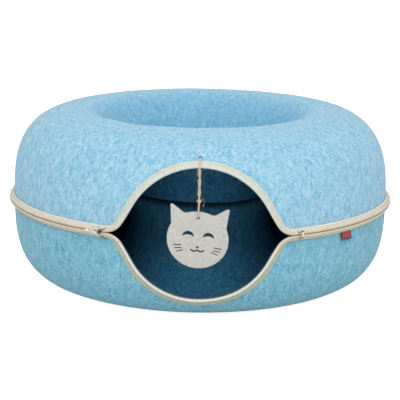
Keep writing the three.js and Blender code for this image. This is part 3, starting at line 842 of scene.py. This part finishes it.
def coil(name, surface, opened_only):
    frames = tape_frames(surface, tape_stations(surface, 2.4, 4.8))
    if opened_only:
        frames = [f for f in frames if f[2] > 0.6]
        shape = ((1.8, 2.2), (1.8, -3.1))
    else:
        frames = [f for f in frames if f[2] == 0][1:]
        shape = ((-HALF_GAP, 5.4), (-HALF_GAP, 5.4))
    line = [tape_point(surface, *station, shape) for *station, _ in frames]
    runs, sides = runs_along(line), frames_along(line)
    grid = []
    for step in range(int(runs[-1] / COIL_PITCH * 8)):
        run = step * COIL_PITCH / 8
        point, k = point_at(line, runs, run)
        _, side, across = sides[k]
        angle = 2 * math.pi * run / COIL_PITCH
        out = side * math.cos(angle) + across * math.sin(angle)
        along = (line[k + 1] - line[k]).normalized()
        middle = point + out * COIL_R
        grid.append([middle + way * NYLON_R for way in (out, along, -out, -along)])
    return skin(name, grid, nylon, lambda i, j: (i * COIL_PITCH / 8, j), closed_v=True, caps=True)


dusty = [(0.35, (0.26, 0.22, 0.16)), (0.65, (0.42, 0.37, 0.29))]
nylon, _ = clouded("zip_coil", 0.45, 0.5, 3.0, dusty, place=map_place)
shut_coil = coil("zip_coil_shut", lower, False)
coils = [shut_coil, coil("zip_coil_upper", upper, True), coil("zip_coil_lower", lower, True)]
for piece in coils:
    fit(piece, "zip_tape")

# Stitches: brown polyester thread in lockstitch, 3.6 mm a stitch, which sews each tape to its felt
# along the groove. A few longer ones tack the tapes together at both ends of the opened stretch.

THREAD = 0.00062
TACK_THREAD = 0.0015
STITCH = 3.6
STITCH_GROOVE = ((6.6, 3.45), (7.3, 1.5))
pale_brown = [(0.35, (0.60, 0.52, 0.38)), (0.65, (0.76, 0.69, 0.54))]
dark_brown = [(0.35, (0.06, 0.035, 0.02)), (0.65, (0.20, 0.13, 0.08))]
thread, _ = clouded("stitches", 0.6, 1800.0, 2.0, pale_brown, Sheen_Weight=0.3)
dark_thread, _ = clouded("tack_stitches", 0.6, 1800.0, 2.0, dark_brown, Sheen_Weight=0.2)


def sew(shapes, start, end, outward, thickness):
    """One stitch from start to end: a thread that rises out of the tape and dives back into it."""
    along = (end - start).normalized()
    across = outward.cross(along).normalized()
    rings = []
    for k in range(6):
        t = k / 5
        centre = start.lerp(end, t) + outward * thickness * (2.0 * math.sin(math.pi * t) - 0.9)
        reach = thickness / 2 * (0.6 + 0.4 * math.sin(math.pi * t))
        ring = []
        for a in (5.027, 3.77, 2.513, 1.257, 0):
            ring.append(shapes.verts.new(centre + (across * math.cos(a) + outward * math.sin(a)) * reach))
        rings.append(ring)
    close_round(shapes, rings)


def seam(name, surface):
    """A row of stitches along a tape's groove."""
    frames = tape_frames(surface, tape_stations(surface, 1.2, 3.6))
    points = [tape_point(surface, *station, STITCH_GROOVE) for *station, _ in frames]
    runs = runs_along(points)
    raised = tuple((into, up + 1.0) for into, up in STITCH_GROOVE)
    shapes = bmesh.new()
    for k in range(int(runs[-1] / STITCH)):
        start, _ = point_at(points, runs, k * STITCH)
        end, n = point_at(points, runs, k * STITCH + STITCH * 0.72)
        outward = (tape_point(surface, *frames[n][:3], raised) - points[n]).normalized()
        sew(shapes, start, end, outward, THREAD)
    return piece_of(shapes, name, thread)


seams = [seam("stitches_upper", upper), seam("stitches_lower", lower)]

RIDGE_R = 300


def on_ridge(degrees, along, up, out=0.0):
    """A point at the zip's ridge, by its place round the ring, and millimetres along, up and out."""
    around = math.radians(degrees)
    radius = RIDGE_R + out
    return placed(
        math.sin(around) * radius + math.cos(around) * along,
        -math.cos(around) * radius + math.sin(around) * along,
        SEAM_Z + up + sag(around, SEAM_Z),
    )


tacks = bmesh.new()
tack_ends = [
    # degrees, then along, up and out of both ends
    (-29, (3.4, 1.4, 2.4), (8.6, 3.6, 1.4)),
    (-29, (8.9, 3.8, 1.2), (14.0, 5.8, -1.6)),
    (-29, (2.8, -0.4, 2.6), (7.4, -2.0, 1.6)),
    (-29, (6.4, -5.0, -1.4), (9.4, -7.6, -3.4)),
    (-29, (9.6, -7.8, -3.6), (12.6, -10.4, -5.8)),
    (28.5, (-5.4, 4.6, -1.6), (-2.9, 5.2, -2.0)),
    (28.5, (-6.6, 1.0, 0.6), (-4.6, 1.6, 0.6)),
    (28.5, (-3.2, 3.0, 0.5), (-2.2, 4.6, -1.2)),
    (28.5, (-3.4, -4.4, -1.5), (-0.4, -5.6, -2.4)),
    (28.5, (-4.6, -2.6, 0.3), (-3.2, -4.0, -0.8)),
]
for degrees, start, end in tack_ends:
    outward = (on_ridge(degrees, 0, 0, 1) - on_ridge(degrees, 0, 0)).normalized()
    sew(tacks, on_ridge(degrees, *start), on_ridge(degrees, *end), outward, TACK_THREAD)
seams.append(piece_of(tacks, "tack_stitches", dark_thread))
for piece in seams:
    piece.data.shade_smooth()
    fit(piece, "zip_tape")

# Zip slider: die-cast white metal, bright from plating. Its plate runs on the ridge between two
# curved lips, and a bow on it carries the puller, a flat tongue that lies along the tape.

bright = [(0.3, (0.80, 0.79, 0.76)), (0.6, (0.99, 0.98, 0.96))]
metal, haze = clouded("zip_metal", 0.28, 420.0, 4.0, bright, 0.00006, Metallic=1.0)
tree = metal.node_tree
worn = add_node(tree, "ShaderNodeMapRange", [("Value", haze), ("To Min", 0.18), ("To Max", 0.42)])
tree.links.new(worn.outputs["Result"], tree.nodes["Principled BSDF"].inputs["Roughness"])
# Dark metal of the slider's sunken plate and mouth end and of the stop's prongs: tarnish in these hollows, and
# painted shade there too.
patina_and_shade = [(0.35, (0.03, 0.025, 0.02)), (0.68, (0.22, 0.15, 0.09))]
tarnish_and_shade, _ = clouded("zip_tarnish", 0.5, 700.0, 4.0, patina_and_shade, 0.00006, Metallic=0.8)
cream = [(0.3, (0.84, 0.80, 0.70)), (0.7, (0.94, 0.92, 0.84))]
lacquer, _ = clouded("puller_lacquer", 0.35, 500.0, 3.0, cream, 0.00004, Coat_Weight=0.4)


def block(size, centre, *materials):
    """A block of that size, as the start of a piece. X runs along the ring, -Y out, Z up, in mm."""
    bpy.ops.mesh.primitive_cube_add(size=1, location=[c / 1000 for c in centre])
    piece = bpy.context.active_object
    piece.scale = [s / 1000 for s in size]
    bpy.ops.object.transform_apply(location=True, rotation=True, scale=True)
    for material in materials:
        piece.data.materials.append(material)
    return piece


def narrow(piece, end, share):
    """Makes one end of a block less high, down to that share. The left end is -1, the right one 1."""
    middle = sum(v.co.x for v in piece.data.vertices) / len(piece.data.vertices)
    for v in piece.data.vertices:
        if (v.co.x - middle) * end > 0:
            v.co.z *= share


def join(name, pieces):
    """Several shapes made one piece."""
    pick(*pieces)
    bpy.ops.object.join()
    joined = bpy.context.active_object
    joined.name = joined.data.name = name
    return joined


SEATED = 1.2


def seat(piece, degrees):
    """Turns a piece drawn at the front, at the zip's middle line, to its place on the ring."""
    height = (SEAM_Z + SEATED + sag(math.radians(degrees), SEAM_Z)) / 1000
    turn = Matrix.Translation((0, axis_y, height)) @ Matrix.Rotation(math.radians(degrees), 4, "Z")
    piece.data.transform(turn)


SLIDER_AT = -28.7
plate = block((11.6, 1.6, 9.2), (-2.7, -301.1, 0), metal, tarnish_and_shade)
narrow(plate, -1, 0.66)
shape = bmesh.new()
shape.from_mesh(plate.data)
front = min(shape.faces, key=lambda f: f.calc_center_median().y)
bmesh.ops.inset_region(shape, faces=[front], thickness=0.0028, use_boundary=True, use_even_offset=True)
for v in front.verts:
    v.co.y += 0.0006
# the sunken plate takes the dark metal: tarnish and painted shade
front.material_index = 1
shape.to_mesh(plate.data)
bevel(plate, 0.0003, degrees=25)
nose = block((4.2, 0.9, 3.0), (-10.4, -300.8, 0), metal)
mouth = block((5.0, 1.3, 4.6), (5.4, -301.0, 0), tarnish_and_shade)
narrow(mouth, 1, 0.45)
lips = []
for up in (-1, 1):
    lip = block((15.6, 2.7, 1.0), (0.5, -300.55, up * 4.9), metal)
    for v in lip.data.vertices:
        if v.co.x < 0:
            v.co.z -= up * 0.0012
    lips.append(lip)
for part in (nose, mouth, *lips):
    bevel(part, 0.0003, degrees=25)
bow = block((9.8, 1.3, 1.8), (-2.3, -304.85, 0), metal)
for x in (-6.4, 1.8):
    combine(bow, block((1.6, 3.4, 1.8), (x, -303.0, 0), metal), "UNION")
bevel(bow, 0.0005, 3, 60)
slider = join("zip_slider", [plate, nose, mouth, *lips, bow])
smooth_faces(slider, 30)
seat(slider, SLIDER_AT)
fit(slider, "zip_metal", "slider_body")

tongue = block((14.0, 1.1, 5.0), (-10.7, -303.05, 0), lacquer)
narrow(tongue, -1, 0.7)
slot = block((7.0, 4, 2.7), (-8.6, -303.05, 0))
bevel(slot, 0.0008, 3)
combine(tongue, slot)
bevel(tongue, 0.0003, 3, 40)
tongue.name = tongue.data.name = "zip_puller"
smooth_faces(tongue, 35)
seat(tongue, SLIDER_AT)
fit(tongue, "zip_metal", "slider_puller")

# End stop: a bright metal staple pressed over both tapes at the other end of the opened stretch.

STOP_AT = 28.75
bar = block((3.3, 2.0, 7.4), (0, -301.3, 0), metal)
bevel(bar, 0.0007, 3)
prongs = []
for up in (-1, 1):
    prong = block((2.6, 2.6, 1.4), (0, -300.3, up * 4.3), tarnish_and_shade)
    bevel(prong, 0.0003)
    prongs.append(prong)
stop = join("zip_end_stop", [bar, *prongs])
smooth_faces(stop, 35)
seat(stop, STOP_AT)
fit(stop, "zip_metal", "zip_stop")

# Side label: a woven ribbon, folded once and sewn in under the lower tape. It is left bare.

LABEL_AT = 46
LABEL_WIDTH = 22.5
LABEL_DROP = 11.0
LABEL_TOP = -9.2
PLY_GAP = 0.9
profile = []
for step in range(13):
    t = step / 12
    profile.append((293.5 + 2.2 * t**1.6, LABEL_TOP - LABEL_DROP * t))
out, up = profile[-1]
fold = [(out + PLY_GAP / 2 * (1 + math.cos(a)), up - PLY_GAP / 2 * math.sin(a)) for a in (2.2, 1.57, 0.9)]
loop = profile + fold + [(out + PLY_GAP, up) for out, up in reversed(profile)]
label_grid, runs_round = [], [0.0]
for out, up in loop:
    row = []
    for j in range(17):
        along = LABEL_WIDTH * (j / 16 - 0.5)
        ripple = 0.25 * math.sin(along * 0.35) * (LABEL_TOP - up) / LABEL_DROP
        row.append(on_ridge(LABEL_AT, along, up, out + ripple - RIDGE_R))
    label_grid.append(row)
for a, b in zip(loop, loop[1:]):
    runs_round.append(runs_round[-1] + math.dist(a, b))

ribbon, tree, shader = new_material("side_label", 0.75, Sheen_Weight=0.3)
apart = add_node(tree, "ShaderNodeSeparateXYZ", [("Vector", map_place(tree))])
down, across = apart.outputs["X"], apart.outputs["Y"]
from_right = math_node(tree, "SUBTRACT", LABEL_WIDTH + 0.6, across)
from_fold = math_node(tree, "ABSOLUTE", math_node(tree, "SUBTRACT", down, LABEL_DROP + 1.2))
from_edge = math_node(tree, "MINIMUM", math_node(tree, "MINIMUM", across, from_right), from_fold)
weave = times(tree, wave(tree, down, 0.5), wave(tree, across, 0.45))
tone = math_node(tree, "MULTIPLY_ADD", weave, 0.2, 0.5)
cloth = ramp(tree, tone, (0.3, (0.42, 0.008, 0.02)), (0.7, (0.64, 0.03, 0.05)))
# The dark border is partly the ribbon's woven edge and partly painted shade of its thickness and fold.
colour = mix(tree, between(tree, from_edge, 3.1, 2.6), cloth, (0.05, 0.05, 0.055, 1))
tree.links.new(colour, shader.inputs["Base Color"])
bump(tree, shader, weave, 0.00012)
label = skin("side_label", label_grid, ribbon, lambda i, j: (runs_round[i], LABEL_WIDTH * j / 16))
apply_modifier(label, "SOLIDIFY", thickness=0.0004, offset=0)
fit(label, "label", "side_label")

# Toy: a cat head cut by laser from 3 mm pressed felt in pale grey. The cuts of its eyes, nose,
# mouth, whiskers and string hole are scorched brown.

TOY_THICK = 0.003
CLOSED_THIN, CLOSED_DOT = 0.0004, 0.0003
SCORCH_REACH, BARE_FACE = 0.0009, 0.00006
head_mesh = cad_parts["toy_cat"].data.copy()
head_mesh.name = "cat_head"
shape = bmesh.new()
shape.from_mesh(head_mesh)
bmesh.ops.remove_doubles(shape, verts=shape.verts, dist=1e-6)
bmesh.ops.dissolve_limit(shape, angle_limit=math.radians(0.5), verts=shape.verts, edges=shape.edges)
facing = max(shape.faces, key=lambda f: f.calc_area()).normal.copy()
walls = [f for f in shape.faces if abs(f.normal.dot(facing)) < 0.5]
loops, left = [], set(walls)
for wall in walls:
    if wall in left:
        left.remove(wall)
        ring = [wall]
        for face in ring:  # it grows on the way
            for other in (f for e in face.edges for f in e.link_faces if f in left):
                left.remove(other)
                ring.append(other)
        loops.append(ring)


def verts_of(ring):
    return {v for f in ring for v in f.verts}


def span(ring):
    """The longest way across a ring of faces."""
    points = [v.co for v in verts_of(ring)]
    return max((a - b).length for a in points for b in points)


outline = max(loops, key=span)

# It hangs a few degrees more askew than it was drawn, and its thin cuts and dots have closed up a
# little. Each rim is rounded, and the walls of the cuts are marked as scorched.
cut_loops = [ring for ring in loops if ring is not outline]
string_hole = max(cut_loops, key=lambda ring: sum(f.calc_center_median().z for f in ring) / len(ring))
held = verts_of(string_hole)
centre = sum((f.calc_center_median() for f in outline), Vector()) / len(outline)
roll = Matrix.Rotation(math.radians(-1), 3, facing if facing.y < 0 else -facing)
for v in shape.verts:
    if v not in held:
        v.co = centre + roll @ (v.co - centre)
        v.co.z -= (v.co.x - centre.x) * 0.085
shape.normal_update()
for ring in cut_loops:
    length = span(ring)
    round_it = sum(f.calc_area() for f in ring) / TOY_THICK
    thin = length > 0.45 * round_it
    if ring is not string_hole and (thin or length < 0.005):
        for v in verts_of(ring):
            into = sum((f.normal for f in v.link_faces if f in ring), Vector())
            v.co += into.normalized() * (CLOSED_THIN if thin else CLOSED_DOT)
cuts = [v.co.copy() for ring in cut_loops for v in verts_of(ring)]
tree_of_cuts = kdtree.KDTree(len(cuts))
for n, co in enumerate(cuts):
    tree_of_cuts.insert(co, n)
tree_of_cuts.balance()
rims = [e for e in shape.edges if len(e.link_faces) == 2 and e.calc_face_angle() > math.radians(60)]
rims = [e for e in rims if any(abs(f.normal.dot(facing)) > 0.5 for f in e.link_faces)]
outer_verts = verts_of(outline)
outer_rims = [e for e in rims if e.verts[0] in outer_verts]
cut_rims = [e for e in rims if e.verts[0] not in outer_verts]
for edges, width in ((outer_rims, 0.0005), (cut_rims, 0.0004)):
    bmesh.ops.bevel(shape, geom=edges, offset=width, segments=3, affect="EDGES", profile=0.5)
middle = sum((v.co for v in shape.verts), Vector()) / len(shape.verts)
half_thick = max(abs((v.co - middle).dot(facing)) for v in shape.verts)
scorch = shape.verts.layers.float.new("scorch")
for v in shape.verts:
    _, _, near = tree_of_cuts.find(v.co)
    depth = half_thick - abs((v.co - middle).dot(facing))
    v[scorch] = float(near < SCORCH_REACH and depth > BARE_FACE)
bmesh.ops.triangulate(shape, faces=[f for f in shape.faces if len(f.verts) > 4])
shape.to_mesh(head_mesh)
shape.free()
head_mesh.materials.clear()
grey_felt = felt_material(
    "toy_felt", (0.49, 0.48, 0.435), (0.61, 0.60, 0.55), (0.73, 0.72, 0.68), 0.0018, 0.0003, drift=0.0
)
scorched = add_node(grey_felt.node_tree, "ShaderNodeAttribute", attribute_name="scorch").outputs["Fac"]
paint_shade_and_scorch(grey_felt, scorched, (0.17, 0.095, 0.03))
toy = new_piece("cat_head", head_mesh, grey_felt)
smooth_faces(toy, 40)
fit(toy, "toy_felt", "toy_cat")

# Studio: a pale floor that runs back as far as the eye goes, and soft light from above.

paper, tree, shader = new_material("floor", Base_Color=(0.8, 0.8, 0.8, 1), Emission_Color=(1, 1, 1, 1))
path = add_node(tree, "ShaderNodeLightPath")
glow = times(tree, path.outputs["Is Camera Ray"], 0.9)
tree.links.new(glow, shader.inputs["Emission Strength"])
bpy.ops.mesh.primitive_plane_add(size=40, location=(0, 8, -0.0005))
floor = bpy.context.active_object
floor.name = "floor"
floor.data.materials.append(paper)

world = bpy.data.worlds.new("studio")
world.use_nodes = True
sky = world.node_tree
lit = sky.nodes["Background"]
lit.inputs["Color"].default_value = (1, 1, 1, 1)
path = sky.nodes.new("ShaderNodeLightPath")
strength = math_node(sky, "MULTIPLY_ADD", path.outputs["Is Camera Ray"], 0.25, 0.75)
sky.links.new(strength, lit.inputs["Strength"])
scene.world = world

light = bpy.data.lights.new("overhead", "AREA")
light.shape = "RECTANGLE"
light.size, light.size_y = 2.8, 1.0
light.energy = 24
lamp = bpy.data.objects.new("overhead", light)
scene.collection.objects.link(lamp)
lamp.location = (0.1, -1.9, 2.0)
lamp.rotation_euler = (Vector((0, 0, 0.1)) - lamp.location).to_track_quat("-Z", "Y").to_euler()
